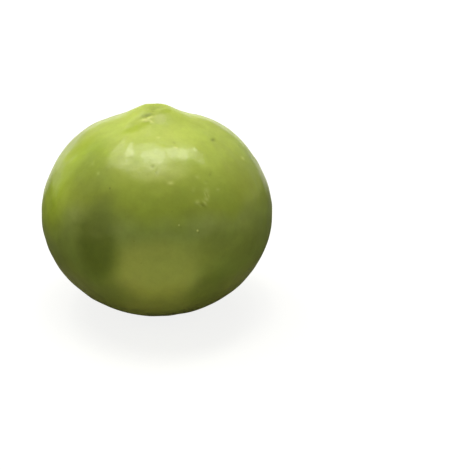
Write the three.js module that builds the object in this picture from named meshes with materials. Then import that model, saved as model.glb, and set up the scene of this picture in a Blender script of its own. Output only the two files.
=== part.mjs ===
// A whole white sapote, unpeeled, resting upright on the small flat spot of its underside.
// Millimetres, +Z up. The origin is the middle of the flat spot.
import * as THREE from 'three';

// Driving dimensions. Angles are radians from the crown pole, or round the axis from -Y towards +X.
const waistRadius = 40;
const bodyHalfHeight = 35.2;
const flatSpotRadius = 9.5;
const knob = {
  height: 3.5,
  topRadius: 0.12,
  footRadius: 0.325,
  topEase: 0.2,
  footEase: 1.2,
  shiftX: -0.033,
  shiftY: 0.01,
};
const shoulder = {
  angle: 0.75,
  width: 0.35,
  lobes: [
    { count: 3, swell: 0.37, turn: 0 },
    { count: 5, swell: 0.44, turn: 0.7 },
  ],
};
const stemScar = { depth: 1, angle: 0.115, turn: -0.34, radius: 0.05 };

// Mesh density: the rings are closest together over the crown, where the shape changes fastest.
const ringCount = 44;
const segmentCount = 72;
const ringCrowding = 0.6;

// A smooth bump of height 1.
const bell = (distance, width) => Math.exp(-((distance / width) ** 2));

// The smaller or larger of two numbers, rounded over where they are closer than ease.
function smoothMin(a, b, ease) {
  const near = Math.max(ease - Math.abs(a - b), 0) / ease;
  return Math.min(a, b) - (near ** 3 * ease) / 6;
}

function smoothMax(a, b, ease) {
  return -smoothMin(-a, -b, ease);
}

// Height of the body's middle above the flat spot.
const waistHeight = bodyHalfHeight * Math.sqrt(1 - (flatSpotRadius / waistRadius) ** 2);
const flatSpotAngle = Math.PI - Math.atan2(flatSpotRadius, waistHeight);

// The plain body is an ellipsoid of revolution.
function bodyRadius(angle) {
  return 1 / Math.hypot(Math.sin(angle) / waistRadius, Math.cos(angle) / bodyHalfHeight);
}

// A low knob sits a little off the axis at the crown: a flat top, straight flanks and a wide soft
// foot. Three broad lobes and five fainter ones swell the shoulder, and the stem left a small pit
// at the front edge of the knob's top.
function swellAt(angle, turn) {
  const alongX = angle * Math.sin(turn);
  const alongY = -angle * Math.cos(turn);
  const fromKnob = Math.hypot(alongX - knob.shiftX, alongY - knob.shiftY);
  const climb = (knob.footRadius - fromKnob) / (knob.footRadius - knob.topRadius);
  const rise = knob.height * smoothMax(smoothMin(climb, 1, knob.topEase), 0, knob.footEase);
  const scarX = stemScar.angle * Math.sin(stemScar.turn);
  const scarY = -stemScar.angle * Math.cos(stemScar.turn);
  const pit = stemScar.depth * bell(Math.hypot(alongX - scarX, alongY - scarY), stemScar.radius);
  let lobes = 0;
  for (const lobe of shoulder.lobes) {
    lobes += lobe.swell * Math.cos(lobe.count * (turn - lobe.turn));
  }
  return rise - pit + lobes * bell(angle - shoulder.angle, shoulder.width);
}

// The meridian starts at the middle of the flat spot, steps out to its rim and climbs to the pole.
function meridian() {
  const points = [new THREE.Vector2(0, -waistHeight), new THREE.Vector2(flatSpotRadius, -waistHeight)];
  for (let ring = 1; ring <= ringCount; ring++) {
    const left = 1 - ring / ringCount;
    const angle = flatSpotAngle * left * (1 - ringCrowding + ringCrowding * left);
    const radius = bodyRadius(angle);
    points.push(new THREE.Vector2(radius * Math.sin(angle), radius * Math.cos(angle)));
  }
  return points;
}

// Turning the meridian gives the plain body about +Y. It is stood up along +Z, and each point above
// the flat spot is then moved in or out along its line from the body's middle.
function fruitGeometry() {
  const geometry = new THREE.LatheGeometry(meridian(), segmentCount);
  geometry.rotateX(Math.PI / 2);
  const position = geometry.getAttribute('position');
  const point = new THREE.Vector3();
  for (let i = 0; i < position.count; i++) {
    point.fromBufferAttribute(position, i);
    const angle = Math.atan2(Math.hypot(point.x, point.y), point.z);
    const turn = Math.atan2(point.x, -point.y);
    if (angle < flatSpotAngle - 1e-6) {
      point.setLength(point.length() + swellAt(angle, turn));
    }
    position.setXYZ(i, point.x, point.y, point.z + waistHeight);
  }
  geometry.computeVertexNormals();
  return geometry;
}

const waxyGreenSkin = new THREE.MeshStandardMaterial({
  color: 0x93a83c,
  roughness: 0.42,
  metalness: 0,
});

const fruit = new THREE.Mesh(fruitGeometry(), waxyGreenSkin);
fruit.name = 'fruit';

const group = new THREE.Group();
group.add(fruit);

export default group;
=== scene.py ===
# A whole white sapote, resting on the small flat spot of its underside, on a pale studio floor.
import math
import bpy
import numpy
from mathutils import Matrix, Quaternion, Vector, noise


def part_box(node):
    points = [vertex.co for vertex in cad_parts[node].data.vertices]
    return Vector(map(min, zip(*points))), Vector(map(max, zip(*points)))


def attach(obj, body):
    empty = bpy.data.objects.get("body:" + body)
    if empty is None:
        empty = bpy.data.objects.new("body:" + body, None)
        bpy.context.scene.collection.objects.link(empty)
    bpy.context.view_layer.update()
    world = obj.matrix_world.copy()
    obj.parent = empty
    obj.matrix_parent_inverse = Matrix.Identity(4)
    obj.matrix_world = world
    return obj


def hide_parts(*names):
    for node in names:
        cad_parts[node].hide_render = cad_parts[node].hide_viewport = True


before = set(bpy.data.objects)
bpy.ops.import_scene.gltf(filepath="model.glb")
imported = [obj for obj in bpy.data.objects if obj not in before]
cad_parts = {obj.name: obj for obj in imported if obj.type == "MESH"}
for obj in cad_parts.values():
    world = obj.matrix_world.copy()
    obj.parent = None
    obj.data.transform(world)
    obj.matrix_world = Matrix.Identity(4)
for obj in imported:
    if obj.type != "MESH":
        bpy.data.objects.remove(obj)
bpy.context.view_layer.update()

lowCorner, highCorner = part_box("fruit")
mm = 0.001


def addNode(tree, kind, inputs=(), **settings):
    # inputs: a list in socket order or a dictionary by socket name. A node stands for its first output.
    node = tree.nodes.new(kind)
    for name, value in settings.items():
        setattr(node, name, value)
    for key, value in inputs.items() if isinstance(inputs, dict) else enumerate(inputs):
        usable = [socket for socket in node.inputs if socket.enabled]
        socket = usable[key] if isinstance(key, int) else next(s for s in usable if s.name == key)
        if isinstance(value, bpy.types.Node):
            value = next(output for output in value.outputs if output.enabled)
        if isinstance(value, bpy.types.NodeSocket):
            tree.links.new(value, socket)
        else:
            socket.default_value = value
    return node


def colour(hexValue):
    # sRGB hex to the linear RGBA that the shader sockets hold
    channels = [int(hexValue[i:i + 2], 16) / 255 for i in (1, 3, 5)]
    return [c / 12.92 if c <= 0.04045 else ((c + 0.055) / 1.055) ** 2.4 for c in channels] + [1.0]


white = colour("#ffffff")

# The fruit's shape. Places on it are angles: from the pole at the crown, and round the axis
# from the front (-Y) towards +X.
waistRadius = (highCorner.x - lowCorner.x) / 2 / mm
fruitShape = {
    "waistRadius": waistRadius,                # mm
    "bodyHalfHeight": waistRadius * 0.88,      # mm, waist to pole without the knob
    "flatSpotRadius": 9.5,                     # mm
    "flatSpotEase": 0.7,                       # mm, how softly the flat spot turns into the side
    "knobHeight": 3.55,                        # mm
    "knobX": -0.033,                           # radians from the pole to the knob's middle
    "knobY": 0.01,
    "knobTop": 0.115,                          # radians from the knob's middle to the edge of its top
    "knobTopFront": 0.06,                      # the same towards the front
    "knobTopLean": 0.004,                      # the top reaches this much further on the right
    "knobTopSquare": 0.009,                    # how far the top's corners stand out
    "knobTopEase": 0.08,                       # share of the height over which the top's edge rounds
    "knobFoot": 0.325,                         # radians from the knob's middle to its foot
    "knobFootFront": 0.25,                     # the same towards the front
    "knobFootLean": -0.015,                    # the foot reaches less far on the right
    "knobFootEase": 1.2,                       # how softly the foot runs out into the shoulder
    "knobDip": 0.8,                            # mm, the scar's shallow hollow
    "knobDipReach": 0.095,                     # radians
    "knobRidges": 8,
    "ridgeTurn": 0.55,                         # radians round the knob to the first ridge
    "ridgeReach": 0.07,                        # share by which a ridge carries the knob further out
    "ridgeFade": 0.22,                         # radians from the knob's middle over which they fade
    "ridgeSharpness": 3.0,
    "lobeAngle": 0.75,                         # radians from the pole to the middle of the lobes
    "lobeWidth": 0.35,                         # radians
    "threeLobes": 0.37,                        # mm
    "fiveLobes": 0.44,                         # mm
    "fiveLobesTurn": 0.7,                      # radians round the axis to the first of the five
    "dentHeight": 0.5,                         # mm, broad shallow dents all over
    "dentSize": 17.0,
    "rippleHeight": 0.35,                      # mm, smaller dents on top of them
    "rippleSize": 5.0,
    "pimpleHeight": 0.12,                      # mm
    "pimpleRadius": 0.5,
    "pimpleSpacing": 5.0,
    "pimpleRarity": 0.55,                      # this share of the places has none
    "tipHollowDepth": 0.7,                     # mm, the blossom end, in the middle of the flat spot
    "tipHollowRadius": 3.0,
    "segments": 448,
    "rings": 219,
    "ringCrowding": 0.5,                       # 0 for even rings, towards 1 they crowd at the crown
    "seed": 4.0,
}
flatShare = fruitShape["flatSpotRadius"] / waistRadius
bodyMiddle = fruitShape["bodyHalfHeight"] * math.sqrt(1 - flatShare ** 2)    # mm above the floor


def addBell(tree, distance, width):
    # exp(-(distance / width)^2): a smooth bump of height 1
    share = addNode(tree, "ShaderNodeMath", [distance, width], operation="DIVIDE")
    square = addNode(tree, "ShaderNodeMath", [share, share], operation="MULTIPLY")
    falling = addNode(tree, "ShaderNodeMath", [square, -1.0], operation="MULTIPLY")
    return addNode(tree, "ShaderNodeMath", [falling], operation="EXPONENT")


def raiseKnob(tree, given, outward, angle, radius):
    # The knob: a low cone with a flat top, a wide soft foot and ridges down its flank. It is laid out
    # on a flat map of the crown, seen from above, in radians.
    crownMap = addNode(tree, "ShaderNodeVectorMath", {"Vector": outward, "Scale": angle}, operation="SCALE")
    knobPlace = addNode(tree, "ShaderNodeCombineXYZ", [given["knobX"], given["knobY"], 0.0])
    onKnob = addNode(tree, "ShaderNodeVectorMath", [crownMap, knobPlace], operation="SUBTRACT")
    fromKnob = addNode(tree, "ShaderNodeVectorMath", [onKnob], operation="LENGTH")
    knobXYZ = addNode(tree, "ShaderNodeSeparateXYZ", [onKnob])
    backwards = addNode(tree, "ShaderNodeMath", [knobXYZ.outputs["Y"], -1.0], operation="MULTIPLY")
    knobTurn = addNode(tree, "ShaderNodeMath", [knobXYZ.outputs["X"], backwards], operation="ARCTAN2")
    fromRidge = addNode(tree, "ShaderNodeMath", [knobTurn, given["ridgeTurn"]], operation="SUBTRACT")
    phase = addNode(tree, "ShaderNodeMath", [fromRidge, given["knobRidges"]], operation="MULTIPLY")
    wave = addNode(tree, "ShaderNodeMath", [phase], operation="COSINE")
    crest = addNode(tree, "ShaderNodeMath", [wave, 0.5, 0.5], operation="MULTIPLY_ADD")
    ridge = addNode(tree, "ShaderNodeMath", [crest, given["ridgeSharpness"]], operation="POWER")
    fade = addBell(tree, fromKnob, given["ridgeFade"])
    ridge = addNode(tree, "ShaderNodeMath", [ridge, fade], operation="MULTIPLY")
    pull = addNode(tree, "ShaderNodeMath", [ridge, given["ridgeReach"]], operation="MULTIPLY")
    nearer = addNode(tree, "ShaderNodeMath", [1.0, pull], operation="SUBTRACT")
    fromKnob = addNode(tree, "ShaderNodeMath", [fromKnob, nearer], operation="MULTIPLY")

    # How far its top and its foot reach: less towards the front, and not the same left and right
    facing = addNode(tree, "ShaderNodeMath", [knobTurn], operation="COSINE")
    rightward = addNode(tree, "ShaderNodeMath", [knobTurn], operation="SINE")
    reach = {}
    for name in ("knobTop", "knobFoot"):
        shortened = addNode(tree, "ShaderNodeMapRange",
                            {"Value": facing, "To Min": given[name], "To Max": given[name + "Front"]},
                            interpolation_type="SMOOTHSTEP")
        reach[name] = addNode(tree, "ShaderNodeMath", [rightward, given[name + "Lean"], shortened],
                              operation="MULTIPLY_ADD")
    fourTurns = addNode(tree, "ShaderNodeMath", [knobTurn, 4.0], operation="MULTIPLY")
    inset = addNode(tree, "ShaderNodeMath", [fourTurns], operation="COSINE")
    inset = addNode(tree, "ShaderNodeMath", [inset, given["knobTopSquare"]], operation="MULTIPLY")
    top = addNode(tree, "ShaderNodeMath", [reach["knobTop"], inset], operation="SUBTRACT")

    # Up the flank from 0 at the foot to 1 at the top, with both bends eased
    toFoot = addNode(tree, "ShaderNodeMath", [reach["knobFoot"], fromKnob], operation="SUBTRACT")
    flank = addNode(tree, "ShaderNodeMath", [reach["knobFoot"], top], operation="SUBTRACT")
    climb = addNode(tree, "ShaderNodeMath", [toFoot, flank], operation="DIVIDE")
    climb = addNode(tree, "ShaderNodeMath", [climb, 1.0, given["knobTopEase"]], operation="SMOOTH_MIN")
    climb = addNode(tree, "ShaderNodeMath", [climb, 0.0, given["knobFootEase"]], operation="SMOOTH_MAX")
    radius = addNode(tree, "ShaderNodeMath", [climb, given["knobHeight"], radius], operation="MULTIPLY_ADD")
    hollow = addBell(tree, fromKnob, given["knobDipReach"])
    dip = addNode(tree, "ShaderNodeMath", [hollow, given["knobDip"]], operation="MULTIPLY")
    return addNode(tree, "ShaderNodeMath", [radius, dip], operation="SUBTRACT")


def makeShapeTree(material):
    tree = bpy.data.node_groups.new("sapoteShape", "GeometryNodeTree")
    sockets = tree.interface
    sockets.new_socket(name="Geometry", in_out="OUTPUT", socket_type="NodeSocketGeometry")
    for name, value in fruitShape.items():
        kind = "NodeSocketInt" if isinstance(value, int) else "NodeSocketFloat"
        sockets.new_socket(name=name, in_out="INPUT", socket_type=kind)
    given = tree.nodes.new("NodeGroupInput").outputs

    # A unit sphere whose rings crowd together at the crown
    sphere = addNode(tree, "GeometryNodeMeshUVSphere",
                     {"Segments": given["segments"], "Rings": given["rings"]})
    place = addNode(tree, "ShaderNodeSeparateXYZ", [addNode(tree, "GeometryNodeInputPosition")])
    evenAngle = addNode(tree, "ShaderNodeMath", [place.outputs["Z"]], operation="ARCCOSINE")
    crowd = addNode(tree, "ShaderNodeMath", [given["ringCrowding"], -1.0, 1.0], operation="MULTIPLY_ADD")
    steepen = addNode(tree, "ShaderNodeMath", [given["ringCrowding"], math.pi], operation="DIVIDE")
    stretch = addNode(tree, "ShaderNodeMath", [evenAngle, steepen, crowd], operation="MULTIPLY_ADD")
    angle = addNode(tree, "ShaderNodeMath", [evenAngle, stretch], operation="MULTIPLY")
    backwards = addNode(tree, "ShaderNodeMath", [place.outputs["Y"], -1.0], operation="MULTIPLY")
    turn = addNode(tree, "ShaderNodeMath", [place.outputs["X"], backwards], operation="ARCTAN2")
    level = addNode(tree, "ShaderNodeCombineXYZ", [place.outputs["X"], place.outputs["Y"], 0.0])
    outward = addNode(tree, "ShaderNodeVectorMath", [level], operation="NORMALIZE")
    sine = addNode(tree, "ShaderNodeMath", [angle], operation="SINE")
    cosine = addNode(tree, "ShaderNodeMath", [angle], operation="COSINE")
    sideways = addNode(tree, "ShaderNodeVectorMath", {"Vector": outward, "Scale": sine}, operation="SCALE")
    upward = addNode(tree, "ShaderNodeCombineXYZ", [0.0, 0.0, cosine])
    direction = addNode(tree, "ShaderNodeVectorMath", [sideways, upward], operation="ADD")

    # The plain body: an ellipsoid of revolution
    halfSizes = addNode(tree, "ShaderNodeCombineXYZ",
                        [given["waistRadius"], given["waistRadius"], given["bodyHalfHeight"]])
    squeezed = addNode(tree, "ShaderNodeVectorMath", [direction, halfSizes], operation="DIVIDE")
    inverse = addNode(tree, "ShaderNodeVectorMath", [squeezed], operation="LENGTH")
    radius = addNode(tree, "ShaderNodeMath", [1.0, inverse], operation="DIVIDE")

    radius = raiseKnob(tree, given, outward, angle, radius)

    # Three broad and five narrower lobes on the shoulder
    fromShoulder = addNode(tree, "ShaderNodeMath", [angle, given["lobeAngle"]], operation="SUBTRACT")
    shoulder = addBell(tree, fromShoulder, given["lobeWidth"])
    for count, swell, start in ((3.0, given["threeLobes"], 0.0),
                                (5.0, given["fiveLobes"], given["fiveLobesTurn"])):
        along = addNode(tree, "ShaderNodeMath", [turn, start], operation="SUBTRACT")
        phase = addNode(tree, "ShaderNodeMath", [along, count], operation="MULTIPLY")
        wave = addNode(tree, "ShaderNodeMath", [phase], operation="COSINE")
        lobe = addNode(tree, "ShaderNodeMath", [wave, swell], operation="MULTIPLY")
        radius = addNode(tree, "ShaderNodeMath", [lobe, shoulder, radius], operation="MULTIPLY_ADD")

    # Broad dents everywhere, and smaller ripples on top of them
    spot = addNode(tree, "ShaderNodeVectorMath", {"Vector": direction, "Scale": radius}, operation="SCALE")
    for size, swing, detail in ((given["dentSize"], given["dentHeight"], 1.0),
                                (given["rippleSize"], given["rippleHeight"], 0.0)):
        perDent = addNode(tree, "ShaderNodeMath", [1.0, size], operation="DIVIDE")
        dents = addNode(tree, "ShaderNodeTexNoise",
                        {"Vector": spot, "W": given["seed"], "Scale": perDent, "Detail": detail},
                        noise_dimensions="4D")
        dent = addNode(tree, "ShaderNodeMath", [dents, 0.5], operation="SUBTRACT")
        radius = addNode(tree, "ShaderNodeMath", [dent, swing, radius], operation="MULTIPLY_ADD")

    # Pimples: most places have none, and the others have a faint or a stronger one
    perPimple = addNode(tree, "ShaderNodeMath", [1.0, given["pimpleSpacing"]], operation="DIVIDE")
    cells = addNode(tree, "ShaderNodeTexVoronoi",
                    {"Vector": spot, "W": given["seed"], "Scale": perPimple}, voronoi_dimensions="4D")
    fromPimple = addNode(tree, "ShaderNodeMath", [cells, given["pimpleSpacing"]], operation="MULTIPLY")
    dome = addBell(tree, fromPimple, given["pimpleRadius"])
    draw = addNode(tree, "ShaderNodeSeparateXYZ", [cells.outputs["Color"]])
    strength = addNode(tree, "ShaderNodeMapRange",
                       {"Value": draw.outputs["X"], "From Min": given["pimpleRarity"]})
    pimple = addNode(tree, "ShaderNodeMath", [dome, strength], operation="MULTIPLY")
    radius = addNode(tree, "ShaderNodeMath", [pimple, given["pimpleHeight"], radius],
                     operation="MULTIPLY_ADD")

    # Stand it on its flat spot, with the blossom end hollowed in the middle of it
    share = addNode(tree, "ShaderNodeMath", [given["flatSpotRadius"], given["waistRadius"]],
                    operation="DIVIDE")
    flatSquare = addNode(tree, "ShaderNodeMath", [share, share], operation="MULTIPLY")
    flatLeft = addNode(tree, "ShaderNodeMath", [1.0, flatSquare], operation="SUBTRACT")
    flatRoot = addNode(tree, "ShaderNodeMath", [flatLeft, 0.5], operation="POWER")
    waistHeight = addNode(tree, "ShaderNodeMath", [flatRoot, given["bodyHalfHeight"]], operation="MULTIPLY")
    lifted = addNode(tree, "ShaderNodeCombineXYZ", [0.0, 0.0, waistHeight])
    spot = addNode(tree, "ShaderNodeVectorMath", {"Vector": direction, "Scale": radius}, operation="SCALE")
    spot = addNode(tree, "ShaderNodeVectorMath", [spot, lifted], operation="ADD")
    spotXYZ = addNode(tree, "ShaderNodeSeparateXYZ", [spot])
    height = addNode(tree, "ShaderNodeMath", [spotXYZ.outputs["Z"], 0.0, given["flatSpotEase"]],
                     operation="SMOOTH_MAX")
    ground = addNode(tree, "ShaderNodeCombineXYZ", [spotXYZ.outputs["X"], spotXYZ.outputs["Y"], 0.0])
    fromTip = addNode(tree, "ShaderNodeVectorMath", [ground], operation="LENGTH")
    hollow = addBell(tree, fromTip, given["tipHollowRadius"])
    below = addNode(tree, "ShaderNodeMath", [place.outputs["Z"], 0.0], operation="LESS_THAN")
    tip = addNode(tree, "ShaderNodeMath", [hollow, below], operation="MULTIPLY")    # not on the crown too
    height = addNode(tree, "ShaderNodeMath", [tip, given["tipHollowDepth"], height], operation="MULTIPLY_ADD")
    spot = addNode(tree, "ShaderNodeCombineXYZ", [spotXYZ.outputs["X"], spotXYZ.outputs["Y"], height])
    inMetres = addNode(tree, "ShaderNodeVectorMath", {"Vector": spot, "Scale": mm}, operation="SCALE")

    shaped = addNode(tree, "GeometryNodeSetPosition", {"Geometry": sphere, "Position": inMetres})
    for name, value in (("pimple", pimple), ("tip", tip)):
        shaped = addNode(tree, "GeometryNodeStoreNamedAttribute",
                         {"Geometry": shaped, "Name": name, "Value": value},
                         data_type="FLOAT", domain="POINT")
    shaped = addNode(tree, "GeometryNodeSetShadeSmooth", {"Geometry": shaped})
    shaped = addNode(tree, "GeometryNodeRealizeInstances", {"Geometry": shaped})
    shaped = addNode(tree, "GeometryNodeSetMaterial", {"Geometry": shaped, "Material": material})
    addNode(tree, "NodeGroupOutput", {"Geometry": shaped})
    return tree


# Single marks on the skin, each an oval bump or dent: its place in degrees (round the axis, then from
# the pole), its half length and half width in mm, its tilt in degrees and its height in mm (a dent is
# below 0). After them come how ragged its outline and how crumpled its top is in mm, how firm its edge
# is (1 is soft), and how far it turns the skin to each tint.
skinMarks = [
    # the wax is worn off round the stem scar
    (0, 6, 9.5, 9.5, 0, 0.0, {"worn": 0.9}),
    (-37, 13, 5.5, 4.0, 40, 0.0, {"worn": 1.0, "firm": 2.0}),
    # a low swelling behind it on the right
    (113, 25, 7.0, 7.0, 0, 0.3, {}),
    # the stem scar on the knob's flat top
    (-107, 2, 3.9, 3.5, 0, -0.15, {"ragged": 0.6, "firm": 2.0, "darkAndPaintedShade": 0.3}),
    (-107, 2, 1.3, 1.1, 0, -0.35, {"ragged": 0.5, "firm": 1.5, "darkAndPaintedShade": 0.5}),
    # a torn fold across the front of it, and a fainter one behind that; their dark tint is partly
    # painted shade in the folds
    (-38, 8, 2.3, 0.9, 50, -0.3, {"ragged": 0.4, "darkAndPaintedShade": 0.8}),
    (19, 2.5, 2.6, 0.35, -12, -0.12, {"ragged": 0.3, "darkAndPaintedShade": 0.4}),
    (-31, 3.5, 0.9, 0.35, 51, -0.15, {"ragged": 0.3, "darkAndPaintedShade": 0.6}),
    # its crumpled pale lip, and the flat facet beside it, whose pale tint is a painted highlight
    (-25, 9.5, 1.8, 0.5, 50, 0.14, {"ragged": 0.4, "corky": 0.9}),
    (-31, 11.5, 1.7, 0.7, 15, 0.16, {"ragged": 0.5, "crumple": 0.3, "corky": 1.0}),
    (-17, 11.5, 1.0, 0.5, -15, 0.14, {"ragged": 0.3, "corky": 0.9}),
    (9, 9, 2.5, 2.0, 65, -0.12, {"ragged": 0.3, "firm": 2.5, "paleAndPaintedHighlight": 0.8}),
    # deeper green skin behind and left of it; left of it, in the hollow at the knob's foot,
    # it is partly painted shade
    (40, 5, 3.2, 0.8, -5, 0.0, {"ragged": 0.3, "firm": 2.0, "freshAndPaintedLight": 0.7}),
    (-27, 13.5, 2.0, 1.3, 35, 0.0, {"ragged": 0.3, "firm": 2.0, "freshAndPaintedLight": 0.8}),
    (-41, 19, 4.2, 1.9, 46, 0.0, {"ragged": 0.4, "firm": 2.0, "freshAndPaintedLight": 0.9}),
    # a cluster of small blisters right of the middle, the biggest with a crescent dent below it;
    # the dark tint in that dent and in the gap between two blisters is painted shade
    (29, 58.5, 1.0, 0.8, 45, 0.08, {"ragged": 0.3, "paleAndPaintedHighlight": 0.45}),
    (27, 60, 0.7, 0.35, 90, 0.16, {"paleAndPaintedHighlight": 0.65}),
    (29, 60.5, 0.9, 0.35, 95, 0.16, {"paleAndPaintedHighlight": 0.55}),
    (28, 60, 0.5, 0.2, 90, -0.1, {"darkAndPaintedShade": 0.5}),
    (27.5, 62.5, 0.8, 0.55, -55, 0.18, {"ragged": 0.2, "paleAndPaintedHighlight": 0.75}),
    (25.5, 64, 1.0, 0.45, -55, 0.24, {"ragged": 0.2, "paleAndPaintedHighlight": 0.75}),
    (24.5, 64.5, 0.9, 0.35, -35, -0.16, {"ragged": 0.2, "darkAndPaintedShade": 0.8}),
    (22, 63, 0.8, 0.65, 0, 0.16, {"ragged": 0.2, "paleAndPaintedHighlight": 0.6}),
    (23.5, 65, 0.6, 0.45, 0, 0.12, {"paleAndPaintedHighlight": 0.35}),
    # a pit high on the front with a short groove that runs down from it
    (-3, 42.5, 0.55, 0.45, 35, -0.06, {"ragged": 0.3, "darkAndPaintedShade": 0.5}),
    (-1, 45.5, 1.4, 0.25, 78, -0.05, {"ragged": 0.2, "darkAndPaintedShade": 0.4}),
    # short creases above it, a dark oval pit on the right, and two small pits near the cluster
    (7.5, 29, 1.3, 0.5, -30, -0.03, {"ragged": 0.3, "freshAndPaintedLight": 0.4}),
    (19.5, 27.5, 0.7, 0.35, -75, -0.03, {"ragged": 0.3, "darkAndPaintedShade": 0.3}),
    (66.5, 34, 1.4, 0.6, 0, -0.06, {"ragged": 0.2, "darkAndPaintedShade": 0.8}),
    (35, 51, 1.0, 0.35, 45, -0.06, {"ragged": 0.3, "darkAndPaintedShade": 0.5}),
    (30.5, 54, 0.6, 0.5, 0, -0.06, {"ragged": 0.3, "darkAndPaintedShade": 0.3}),
    # low pimples
    (8, 52.5, 1.0, 0.55, 0, 0.12, {"ragged": 0.2, "corky": 0.5}),
    (25.5, 51, 0.7, 0.5, -20, 0.08, {"ragged": 0.2, "corky": 0.2}),
    (29.5, 54.5, 0.6, 0.5, 0, 0.08, {"ragged": 0.2, "corky": 0.12}),
    (36, 59, 0.6, 0.5, 0, 0.08, {"ragged": 0.2, "corky": 0.25}),
    (20.5, 56.5, 1.0, 0.6, 45, 0.06, {"ragged": 0.2, "corky": 0.12}),
    (1.5, 23, 0.8, 0.5, 10, 0.08, {"ragged": 0.3, "corky": 0.3}),
    (18.5, 31.5, 0.8, 0.5, -25, 0.14, {"corky": 0.8}),
    (-40.5, 51.5, 0.6, 0.5, 0, 0.08, {"ragged": 0.2, "corky": 0.25}),
    (-49.5, 48, 1.2, 0.7, -40, 0.05, {"ragged": 0.3, "corky": 0.12}),
    # scuffs and small scars round the sides and the back
    (148, 62, 3.4, 0.6, 25, -0.06, {"ragged": 0.4, "darkAndPaintedShade": 0.6}),
    (156, 66, 1.4, 0.6, 40, -0.05, {"ragged": 0.3, "darkAndPaintedShade": 0.45}),
    (-128, 78, 1.8, 1.2, 10, 0.08, {"ragged": 0.6, "crumple": 0.1, "corky": 0.6}),
    (-141, 52, 1.0, 0.8, 0, 0.12, {"ragged": 0.2, "corky": 0.6}),
    (-165, 40, 1.0, 0.7, 30, 0.1, {"ragged": 0.2, "corky": 0.6}),
    (174, 88, 2.6, 1.5, -30, 0.0, {"ragged": 0.6, "firm": 2.0, "oliveAndPaintedBounce": 0.8}),
    (92, 74, 1.3, 0.9, 60, -0.08, {"ragged": 0.3, "darkAndPaintedShade": 0.7}),
    (104, 96, 2.2, 0.7, -15, 0.05, {"ragged": 0.4, "corky": 0.45}),
    (76, 52, 0.9, 0.7, 0, 0.1, {"ragged": 0.2, "corky": 0.5}),
    (-99, 92, 1.1, 0.9, 0, -0.08, {"ragged": 0.3, "darkAndPaintedShade": 0.6}),
    (-113, 60, 2.8, 0.5, -50, -0.05, {"ragged": 0.3, "darkAndPaintedShade": 0.4}),
]

# Specks too small to shape: place in degrees as above, radius in mm, tint, strength
skinSpecks = [
    (-28, 57, 0.55, "darkAndPaintedShade", 0.9), (7.5, 66, 0.35, "darkAndPaintedShade", 0.5), (-11, 80, 0.35, "darkAndPaintedShade", 0.6),
    (-7.5, 90.5, 0.35, "darkAndPaintedShade", 0.4), (10.5, 72.5, 0.45, "corky", 0.6), (19.5, 76, 0.55, "corky", 0.8),
    (11.5, 73.5, 0.3, "darkAndPaintedShade", 0.5), (20, 77, 0.35, "darkAndPaintedShade", 0.5),
]

# Broad patches where the skin has another tint: place and half size in degrees, how square the
# outline is (2 is an oval), the tint and its strength. On the front they are painted light and
# shade, on the back the skin's own tone
skinPatches = [
    # painted bounce light from the cream card: the olive block on the lower front
    {"turn": 0, "angle": 95, "wide": 22, "high": 13, "square": 3, "tint": "oliveAndPaintedBounce", "strength": 0.7},
    # painted shade: a dark band left of the middle
    {"turn": -30, "angle": 84, "wide": 10.5, "high": 20, "square": 2, "tint": "shade", "strength": 0.9},
    # painted shade high on the left, in a deeper green
    {"turn": -60, "angle": 47, "wide": 15, "high": 12, "square": 2, "tint": "freshAndPaintedLight", "strength": 0.75},
    # painted shade high on the left
    {"turn": -44, "angle": 36, "wide": 16, "high": 8, "square": 2, "tint": "shade", "strength": 0.12},
    # painted highlight: the haze just below the highlight on the shoulder
    {"turn": 1, "angle": 46, "wide": 13, "high": 5, "square": 2, "tint": "paleAndPaintedHighlight", "strength": 0.4},
    # painted shade on the upper left flank
    {"turn": -48, "angle": 54, "wide": 12, "high": 13, "square": 2, "tint": "shade", "strength": 0.4},
    # painted shade low on both sides of the card's light
    {"turn": -27, "angle": 110, "wide": 12, "high": 10, "square": 2, "tint": "shade", "strength": 0.5},
    {"turn": 27, "angle": 109, "wide": 10, "high": 12, "square": 2, "tint": "shade", "strength": 0.6},
    # painted light down the left flank, in a brighter, purer green
    {"turn": -76, "angle": 66, "wide": 20, "high": 26, "square": 2, "tint": "freshAndPaintedLight", "strength": 0.9},
    # the skin's own tone on the back
    {"turn": 138, "angle": 68, "wide": 26, "high": 20, "square": 2, "tint": "freshAndPaintedLight", "strength": 0.4},
    {"turn": -152, "angle": 96, "wide": 24, "high": 15, "square": 2, "tint": "oliveAndPaintedBounce", "strength": 0.5},
]

skinTints = ("worn", "freshAndPaintedLight", "oliveAndPaintedBounce", "shade", "paleAndPaintedHighlight", "corky", "darkAndPaintedShade")    # the later ones lie on top

pressing = {
    "reach": 4.0,            # a mark ends this many half sizes from its middle
    "raggedWave": 0.8,       # mm, the waves of a ragged outline
    "raggedSeed": 3.0,
    "crumpleWave": 0.45,     # mm, the folds of a crumpled top
    "crumpleSeed": 7.0,
    "patchWave": 0.35,       # radians, the waves of a patch's outline
    "patchSway": 0.2,        # how far they move it, as a share of its half size
    "patchSeed": 11.0,
    "patchFull": 0.6,        # a patch has its full tint out to here, also as a share
    "patchGone": 1.5,        # and has faded away here
}


def unitFrom(turn, angle):
    # the direction from the body's middle to a place on the skin
    turn = math.radians(turn)
    angle = math.radians(angle)
    return numpy.array([math.sin(angle) * math.sin(turn), -math.sin(angle) * math.cos(turn), math.cos(angle)])


def wobble(points, wave, seed):
    # smooth noise from -1 to 1 at each point
    return numpy.array([noise.noise(Vector(point)) for point in points / wave + seed])


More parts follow.
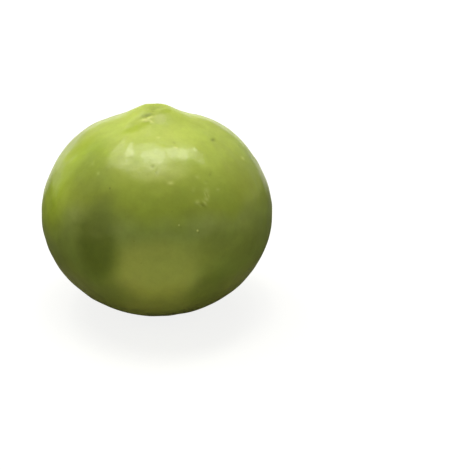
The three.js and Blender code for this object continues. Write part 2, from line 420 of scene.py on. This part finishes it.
def pressMarks(mesh):
    # moves the mesh's points for the marks, and stores each tint's strength on them
    count = len(mesh.vertices)
    places = numpy.empty(count * 3)
    normals = numpy.empty(count * 3)
    mesh.vertices.foreach_get("co", places)
    mesh.vertices.foreach_get("normal", normals)
    places = places.reshape(-1, 3)
    normals = normals.reshape(-1, 3)
    towards = places - numpy.array([0.0, 0.0, bodyMiddle * mm])
    towards /= numpy.linalg.norm(towards, axis=1)[:, None]
    moved = places.copy()
    tints = {name: numpy.zeros(count) for name in skinTints}
    for turn, angle, length, width, tilt, height, more in skinMarks:
        seat = int(numpy.argmax(towards @ unitFrom(turn, angle)))
        normal = normals[seat]
        across = numpy.array([math.cos(math.radians(turn)), math.sin(math.radians(turn)), 0.0])
        across -= normal * (across @ normal)
        across /= numpy.linalg.norm(across)
        upwards = numpy.cross(normal, across)
        slant = math.radians(tilt)
        reach = pressing["reach"] * max(length, width) * mm
        near = numpy.nonzero(numpy.linalg.norm(places - places[seat], axis=1) < reach)[0]
        offset = (places[near] - places[seat]) / mm
        along = offset @ (math.cos(slant) * across + math.sin(slant) * upwards)
        aside = offset @ (math.cos(slant) * upwards - math.sin(slant) * across)
        aside += more.get("ragged", 0.0) * wobble(offset, pressing["raggedWave"], pressing["raggedSeed"])
        bell = numpy.exp(-((along / length) ** 2 + (aside / width) ** 2) ** more.get("firm", 1.0))
        folds = wobble(offset, pressing["crumpleWave"], pressing["crumpleSeed"])
        rise = bell * (height + more.get("crumple", 0.0) * folds)
        moved[near] += normals[near] * rise[:, None] * mm
        for name, tint in tints.items():
            tint[near] = numpy.maximum(tint[near], bell * more.get(name, 0.0))

    sway = pressing["patchSway"] * wobble(towards, pressing["patchWave"], pressing["patchSeed"])
    turns = numpy.arctan2(towards[:, 0], -towards[:, 1])
    angles = numpy.arccos(towards[:, 2])
    fading = pressing["patchGone"] - pressing["patchFull"]
    for patch in skinPatches:
        aside = (turns - math.radians(patch["turn"]) + math.pi) % (2 * math.pi) - math.pi
        aside = numpy.abs(numpy.degrees(aside * numpy.sin(angles))) / patch["wide"]
        along = numpy.abs(numpy.degrees(angles) - patch["angle"]) / patch["high"]
        away = (aside ** patch["square"] + along ** patch["square"]) ** (1 / patch["square"]) + sway
        inside = numpy.clip((pressing["patchGone"] - away) / fading, 0, 1)
        tint = patch["strength"] * inside ** 2 * (3 - 2 * inside)
        tints[patch["tint"]] = numpy.maximum(tints[patch["tint"]], tint)
    for name, tint in tints.items():
        mesh.attributes.new(name, "FLOAT", "POINT").data.foreach_set("value", tint)
    mesh.vertices.foreach_set("co", moved.ravel())
    mesh.update()


def makeFruit(material):
    # the shape tree's result as a plain mesh, with the marks pressed into it
    tree = makeShapeTree(material)
    holder = bpy.data.objects.new("sapoteHolder", bpy.data.meshes.new("sapoteHolder"))
    bpy.context.scene.collection.objects.link(holder)
    modifier = holder.modifiers.new("shape", "NODES")
    modifier.node_group = tree
    for socket in tree.interface.items_tree:
        if socket.in_out == "INPUT":
            modifier[socket.identifier] = fruitShape[socket.name]
    depsgraph = bpy.context.evaluated_depsgraph_get()
    mesh = bpy.data.meshes.new_from_object(holder.evaluated_get(depsgraph), depsgraph=depsgraph)
    holder.modifiers.remove(modifier)
    bpy.data.objects.remove(holder)
    mesh.name = "sapoteSkin"
    mesh.materials.pop(index=0)    # the empty slot that the sphere came with
    pressMarks(mesh)
    fruit = bpy.data.objects.new("sapoteSkin", mesh)
    bpy.context.scene.collection.objects.link(fruit)
    triangles = sum(len(polygon.vertices) - 2 for polygon in mesh.polygons)
    print("fruit:", len(mesh.vertices), "points,", triangles, "triangles")
    return fruit


skinLook = {
    # lighter at the crown and darker down the sides: partly the skin's own tone, partly painted light and
    # shade
    "crown": "#bccb5e",        # yellow green, partly painted light from above
    "side": "#919f3d",
    "flank": "#919f56",
    "belly": "#969a54",        # olive towards the resting side
    "base": "#b6ba70",         # paler at the bottom: painted bounce light from the floor
    # each tint, and the shares of the fruit's height where it starts and where it is full
    "rises": [("belly", 0.04, 0.15), ("flank", 0.27, 0.42), ("side", 0.57, 0.69), ("crown", 0.68, 1.0)],
    "swaySize": 22.0,          # mm, slow waves in those limits and in the hue
    "riseSway": 0.25,
    "hueSway": 0.03,
    "worn": "#aebb54",         # dull where the wax is gone
    # olive tone; on the lower front it is painted bounce light from the card
    "oliveAndPaintedBounce": "#adb057",
    # painted shade
    "shade": "#6f7b37",
    "freshAndPaintedLight": "#a3b534",        # deeper, purer green; partly painted light
    "corky": "#dbe08c",        # corky pale tissue
    # dark specks, pits and scars; in the folds and among the blisters painted shade
    "darkAndPaintedShade": "#7a8438",
    # pale blisters; on the knob's facet and on the shoulder a painted highlight
    "paleAndPaintedHighlight": "#bdc673",
    "tip": "#7d6b3c",          # dry brown
    "pimpleTint": 0.35,        # how far a pimple turns corky
    "speckCore": 0.2,          # share of a speck's radius that has its full tint
    "mottle": [(9.0, 0.3), (3.0, 0.2), (0.9, 0.12)],    # size in mm, swing
    "roughness": 0.34,
    "wornRoughness": 0.6,
    "ior": 1.45,
    "specular": 0.25,
    "coat": 0.3,               # the wax
    "wornCoat": 0.0,
    "coatRoughness": 0.12,
    "sheen": 0.06,             # the faint dusty bloom towards the rim
    "sheenRoughness": 0.35,
    "sheenTint": "#ffffe1",
    "subsurface": 0.1,
    "subsurfaceRadius": (0.6, 1.0, 0.2),    # green goes furthest in
    "subsurfaceScale": 2.0,    # mm
    "bump": 0.6,
    "bumpDepth": 0.02,         # mm
    "poreSize": 0.7,           # mm
    "waxRippleSize": 2.5,      # mm
    "waxRippleHeight": 4.0,    # as a multiple of the pores' height
}


def makeSkin():
    # White sapote skin: thin, smooth and waxy, grown rather than made. Light goes a little way in, the
    # skin below gives a soft wide highlight and the wax on it a tighter one.
    look = skinLook
    material = bpy.data.materials.new("waxySapoteSkin")
    material.use_nodes = True
    tree = material.node_tree
    tree.nodes.clear()
    place = addNode(tree, "ShaderNodeTexCoord").outputs["Object"]
    xyz = addNode(tree, "ShaderNodeSeparateXYZ", [place])
    height = addNode(tree, "ShaderNodeMapRange",
                     {"Value": xyz.outputs["Z"], "From Min": 0.0, "From Max": highCorner.z})
    perWave = 1 / (look["swaySize"] * mm)
    waves = addNode(tree, "ShaderNodeTexNoise", {"Vector": place, "Scale": perWave, "Detail": 2.0})
    sway = addNode(tree, "ShaderNodeMath", [waves, 0.5], operation="SUBTRACT")
    level = addNode(tree, "ShaderNodeMath", [sway, look["riseSway"], height], operation="MULTIPLY_ADD")
    tint = colour(look["base"])
    for name, start, end in look["rises"]:
        share = addNode(tree, "ShaderNodeMapRange", {"Value": level, "From Min": start, "From Max": end},
                        interpolation_type="SMOOTHSTEP")
        tint = addNode(tree, "ShaderNodeMix", {"Factor": share, "A": tint, "B": colour(look[name])},
                       data_type="RGBA")

    # Specks, by their distance from each direction, and the tints that the mesh carries
    fromMiddle = addNode(tree, "ShaderNodeVectorMath", [place, (0.0, 0.0, bodyMiddle * mm)],
                         operation="SUBTRACT")
    towards = addNode(tree, "ShaderNodeVectorMath", [fromMiddle], operation="NORMALIZE")
    specks = {}
    for turn, angle, radius, name, strength in skinSpecks:
        share = radius / waistRadius
        away = addNode(tree, "ShaderNodeVectorMath", [towards, unitFrom(turn, angle)], operation="DISTANCE")
        spot = addNode(tree, "ShaderNodeMapRange",
                       {"Value": away, "From Min": share * look["speckCore"], "From Max": share,
                        "To Min": strength, "To Max": 0.0}, interpolation_type="SMOOTHSTEP")
        specks[name] = addNode(tree, "ShaderNodeMath", [spot, specks.get(name, 0.0)], operation="MAXIMUM")
    for name in skinTints:
        mask = addNode(tree, "ShaderNodeAttribute", attribute_name=name).outputs["Fac"]
        if name in specks:
            mask = addNode(tree, "ShaderNodeMath", [mask, specks[name]], operation="MAXIMUM")
        tint = addNode(tree, "ShaderNodeMix", {"Factor": mask, "A": tint, "B": colour(look[name])},
                       data_type="RGBA")

    # Paler pimples, a dry brown blossom end, and then blotches, a fine grain and a little hue sway
    pimple = addNode(tree, "ShaderNodeAttribute", attribute_name="pimple").outputs["Fac"]
    pimple = addNode(tree, "ShaderNodeMath", [pimple, look["pimpleTint"]], operation="MULTIPLY")
    tip = addNode(tree, "ShaderNodeAttribute", attribute_name="tip").outputs["Fac"]
    for mask, name in ((pimple, "corky"), (tip, "tip")):
        tint = addNode(tree, "ShaderNodeMix", {"Factor": mask, "A": tint, "B": colour(look[name])},
                       data_type="RGBA")
    brightness = 1.0
    for size, swing in look["mottle"]:
        spots = addNode(tree, "ShaderNodeTexNoise",
                        {"Vector": place, "Scale": 1 / (size * mm), "Detail": 2.0})
        spots = addNode(tree, "ShaderNodeMath", [spots, 0.5], operation="SUBTRACT")
        brightness = addNode(tree, "ShaderNodeMath", [spots, swing, brightness], operation="MULTIPLY_ADD")
    hue = addNode(tree, "ShaderNodeMath", [sway, look["hueSway"], 0.5], operation="MULTIPLY_ADD")
    tint = addNode(tree, "ShaderNodeHueSaturation", {"Hue": hue, "Value": brightness, "Color": tint})

    # The wax is worn off round the stem scar
    worn = addNode(tree, "ShaderNodeAttribute", attribute_name="worn").outputs["Fac"]
    roughness = addNode(tree, "ShaderNodeMapRange",
                        {"Value": worn, "To Min": look["roughness"], "To Max": look["wornRoughness"]})
    coat = addNode(tree, "ShaderNodeMapRange",
                   {"Value": worn, "To Min": look["coat"], "To Max": look["wornCoat"]})

    # Fine pores and faint ripples in the wax
    pores, ripples = [addNode(tree, "ShaderNodeTexNoise",
                              {"Vector": place, "Scale": 1 / (look[name] * mm), "Detail": 1.0})
                      for name in ("poreSize", "waxRippleSize")]
    relief = addNode(tree, "ShaderNodeMath", [ripples, look["waxRippleHeight"], pores],
                     operation="MULTIPLY_ADD")
    bump = addNode(tree, "ShaderNodeBump",
                   {"Strength": look["bump"], "Distance": look["bumpDepth"] * mm, "Height": relief})

    shader = addNode(tree, "ShaderNodeBsdfPrincipled", {
        "Base Color": tint, "Roughness": roughness,
        "IOR": look["ior"], "Specular IOR Level": look["specular"],
        "Coat Weight": coat, "Coat Roughness": look["coatRoughness"],
        "Sheen Weight": look["sheen"], "Sheen Roughness": look["sheenRoughness"],
        "Sheen Tint": colour(look["sheenTint"]),
        "Subsurface Weight": look["subsurface"], "Subsurface Radius": look["subsurfaceRadius"],
        "Subsurface Scale": look["subsurfaceScale"] * mm,
        "Normal": bump, "Coat Normal": bump})
    addNode(tree, "ShaderNodeOutputMaterial", {"Surface": shader})
    return material


print("skin material")
skin = makeSkin()
print("fruit body")
fruit = makeFruit(skin)
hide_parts("fruit")
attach(fruit, "root")


# The studio. The fruit's reflections and the bounced light see a dark bench with a grey mat under the
# fruit, a cream card in front of it, pale paper behind it, cream side walls, a bright low wall far
# behind, and a bank of softboxes overhead. The camera sees plain pale paper instead of the bench and
# the room, with only the fruit's shadow on it. Places are metres, strengths are radiance.
studio = {
    "floorRadius": 1.6,
    "floorCorners": 96,
    "bench": "#444438",
    "mat": "#7c7c6c",
    "matRadius": 0.047,
    "matEase": 0.2,             # share of the radius over which its edge fades, in and out
    "card": "#e6eab8",
    "cardTurn": 1.0,            # degrees from the front to the card's middle
    "cardHalfTurn": 31.0,       # degrees either side of it
    "cardEase": 0.16,           # radians
    "sweep": "#e0e0e0",         # the paper behind
    "sweepHalfTurn": 36.0,      # degrees either side of the back
    "sweepEase": 0.08,          # radians
    "roomStrength": 0.16,
    "sideWall": "#f2f09a",
    "sideStrength": 0.75,
    "sideReach": (0.4, 0.95),   # how far sideways a direction points where these walls start and are full
    "backStrength": 1.3,
    "backReach": (0.74, 0.88),  # the same backwards, for the wall far behind
    "backLean": 0.3,            # how far that wall reaches round to the left
    "backTop": (0.06, 0.40),    # how far up a direction points where it starts to fade and is gone
    "lamp": "#fffff1",          # a little warmer than white
    "paper": "#808080",         # from here on, what the camera sees
    "paperGlow": 0.84,
    "roomSeen": 1.0,
}
softboxes = [
    # name, size, place, strength; the narrow ones hang just below the wide ones
    ("broadSoftbox", (0.90, 0.64), (-0.17, 0.13, 1.0), 4.1),
    ("leftSoftbox", (0.46, 0.50), (-0.58, 0.42, 1.0), 2.5),
    ("leftBackSoftbox", (0.34, 0.38), (-0.62, 0.78, 1.0), 3.6),
    ("rightSoftbox", (0.42, 0.36), (0.42, 0.32, 1.0), 3.8),
    ("leftStrip", (0.13, 0.50), (-0.335, 0.39, 0.98), 8.4),
    ("middleStrip", (0.12, 0.42), (0.01, 0.11, 0.98), 8.4),
    ("rightStrip", (0.13, 0.26), (0.19, 0.23, 0.98), 7.2),
    ("farRightStrip", (0.13, 0.22), (0.38, 0.42, 0.98), 5.5),
]


def makeFloor():
    mesh = bpy.data.meshes.new("paleFloor")
    corners = studio["floorCorners"]
    turns = [2 * math.pi * corner / corners for corner in range(corners)]
    rim = [(studio["floorRadius"] * math.cos(turn), studio["floorRadius"] * math.sin(turn), 0.0)
           for turn in turns]
    mesh.from_pydata(rim, [], [list(range(corners))])
    floor = bpy.data.objects.new("paleFloor", mesh)
    bpy.context.scene.collection.objects.link(floor)

    # Matte white paper scatters the light evenly and has no gloss
    material = bpy.data.materials.new("matteWhitePaper")
    material.use_nodes = True
    tree = material.node_tree
    tree.nodes.clear()
    place = addNode(tree, "ShaderNodeTexCoord").outputs["Object"]
    xyz = addNode(tree, "ShaderNodeSeparateXYZ", [place])
    forwards = addNode(tree, "ShaderNodeMath", [xyz.outputs["Y"], -1.0], operation="MULTIPLY")
    turn = addNode(tree, "ShaderNodeMath", [xyz.outputs["X"], forwards], operation="ARCTAN2")
    fromCard = addNode(tree, "ShaderNodeMath", [turn, math.radians(studio["cardTurn"])],
                       operation="SUBTRACT")
    fromCard = addNode(tree, "ShaderNodeMath", [fromCard], operation="ABSOLUTE")
    fromFront = addNode(tree, "ShaderNodeMath", [turn], operation="ABSOLUTE")
    fromFoot = addNode(tree, "ShaderNodeVectorMath", [place], operation="LENGTH")
    cardEdge = math.radians(studio["cardHalfTurn"])
    sweepEdge = math.pi - math.radians(studio["sweepHalfTurn"])
    matEdge = studio["matRadius"]
    offCard, onSweep, offMat = [
        addNode(tree, "ShaderNodeMapRange", {"Value": away, "From Min": edge - ease, "From Max": edge + ease})
        for away, edge, ease in ((fromCard, cardEdge, studio["cardEase"]),
                                 (fromFront, sweepEdge, studio["sweepEase"]),
                                 (fromFoot, matEdge, studio["matEase"] * matEdge))]
    albedo = colour(studio["card"])
    for mask, tint in ((offCard, colour(studio["bench"])), (onSweep, colour(studio["sweep"]))):
        albedo = addNode(tree, "ShaderNodeMix", {"Factor": mask, "A": albedo, "B": tint}, data_type="RGBA")
    albedo = addNode(tree, "ShaderNodeMix",
                     {"Factor": offMat, "A": colour(studio["mat"]), "B": albedo}, data_type="RGBA")
    bounce = addNode(tree, "ShaderNodeBsdfDiffuse", {"Color": albedo})
    paper = addNode(tree, "ShaderNodeBsdfDiffuse", {"Color": colour(studio["paper"])})
    glow = addNode(tree, "ShaderNodeEmission", {"Color": white, "Strength": studio["paperGlow"]})
    seen = addNode(tree, "ShaderNodeAddShader", [paper, glow])
    lightPath = addNode(tree, "ShaderNodeLightPath")
    either = addNode(tree, "ShaderNodeMixShader", [lightPath.outputs["Is Camera Ray"], bounce, seen])
    addNode(tree, "ShaderNodeOutputMaterial", {"Surface": either})
    mesh.materials.append(material)


def makeSoftbox(name, size, place, strength):
    # an oval area light that hangs level and shines straight down, unseen by the camera
    light = bpy.data.lights.new(name, "AREA")
    light.shape = "ELLIPSE"
    light.size, light.size_y = size
    area = math.pi / 4 * size[0] * size[1]
    light.energy = strength * math.pi * area    # watts
    light.color = colour(studio["lamp"])[:3]
    lamp = bpy.data.objects.new(name, light)
    lamp.location = place
    lamp.visible_camera = False
    bpy.context.scene.collection.objects.link(lamp)


def makeRoom():
    world = bpy.data.worlds.new("paleRoom")
    bpy.context.scene.world = world
    world.use_nodes = True
    tree = world.node_tree
    tree.nodes.clear()
    xyz = addNode(tree, "ShaderNodeSeparateXYZ", [addNode(tree, "ShaderNodeTexCoord").outputs["Generated"]])
    sideways = addNode(tree, "ShaderNodeMath", [xyz.outputs["X"]], operation="ABSOLUTE")
    start, full = studio["sideReach"]
    aside = addNode(tree, "ShaderNodeMapRange", {"Value": sideways, "From Min": start, "From Max": full},
                    interpolation_type="SMOOTHSTEP")
    room = addNode(tree, "ShaderNodeMapRange",
                   {"Value": aside, "To Min": studio["roomStrength"], "To Max": studio["sideStrength"]})
    tint = addNode(tree, "ShaderNodeMix", {"Factor": aside, "A": white, "B": colour(studio["sideWall"])},
                   data_type="RGBA")
    behind = addNode(tree, "ShaderNodeMath", [xyz.outputs["X"], -studio["backLean"], xyz.outputs["Y"]],
                     operation="MULTIPLY_ADD")
    start, full = studio["backReach"]
    wall = addNode(tree, "ShaderNodeMapRange",
                   {"Value": behind, "From Min": start, "From Max": full,
                    "To Min": room, "To Max": studio["backStrength"]}, interpolation_type="SMOOTHSTEP")
    start, gone = studio["backTop"]
    strength = addNode(tree, "ShaderNodeMapRange",
                       {"Value": xyz.outputs["Z"], "From Min": start, "From Max": gone,
                        "To Min": wall, "To Max": room}, interpolation_type="SMOOTHSTEP")
    fill = addNode(tree, "ShaderNodeBackground", {"Color": tint, "Strength": strength})
    seen = addNode(tree, "ShaderNodeBackground", {"Color": white, "Strength": studio["roomSeen"]})
    lightPath = addNode(tree, "ShaderNodeLightPath")
    either = addNode(tree, "ShaderNodeMixShader", [lightPath.outputs["Is Camera Ray"], fill, seen])
    addNode(tree, "ShaderNodeOutputWorld", {"Surface": either})


# The camera looks a little down, with the fruit left of and above the middle of the picture.
cameraPlace = {
    "lens": 100.0,         # mm
    "aim": 0.47,           # how high on the fruit it is aimed, as a share of the fruit's height
    "elevation": 24.0,     # degrees above that
    "distance": 0.456,     # metres
    "panRight": 3.40,      # degrees, turned away from the aim after that
    "tiltDown": 1.02,
}
elevation = math.radians(cameraPlace["elevation"])
aim = Vector((0.0, 0.0, highCorner.z * cameraPlace["aim"]))
towardsCamera = Vector((0.0, -math.cos(elevation), math.sin(elevation)))
camera = bpy.data.objects.new("camera", bpy.data.cameras.new("camera"))
camera.data.lens = cameraPlace["lens"]
camera.location = aim + cameraPlace["distance"] * towardsCamera
panned = Quaternion((0, 1, 0), -math.radians(cameraPlace["panRight"]))
tilted = Quaternion((1, 0, 0), -math.radians(cameraPlace["tiltDown"]))
camera.rotation_euler = (towardsCamera.to_track_quat("Z", "Y") @ panned @ tilted).to_euler()
bpy.context.scene.collection.objects.link(camera)
bpy.context.scene.camera = camera
bpy.context.scene.view_settings.view_transform = "Standard"

print("studio")
makeFloor()
makeRoom()
for name, size, place, strength in softboxes:
    makeSoftbox(name, size, place, strength)
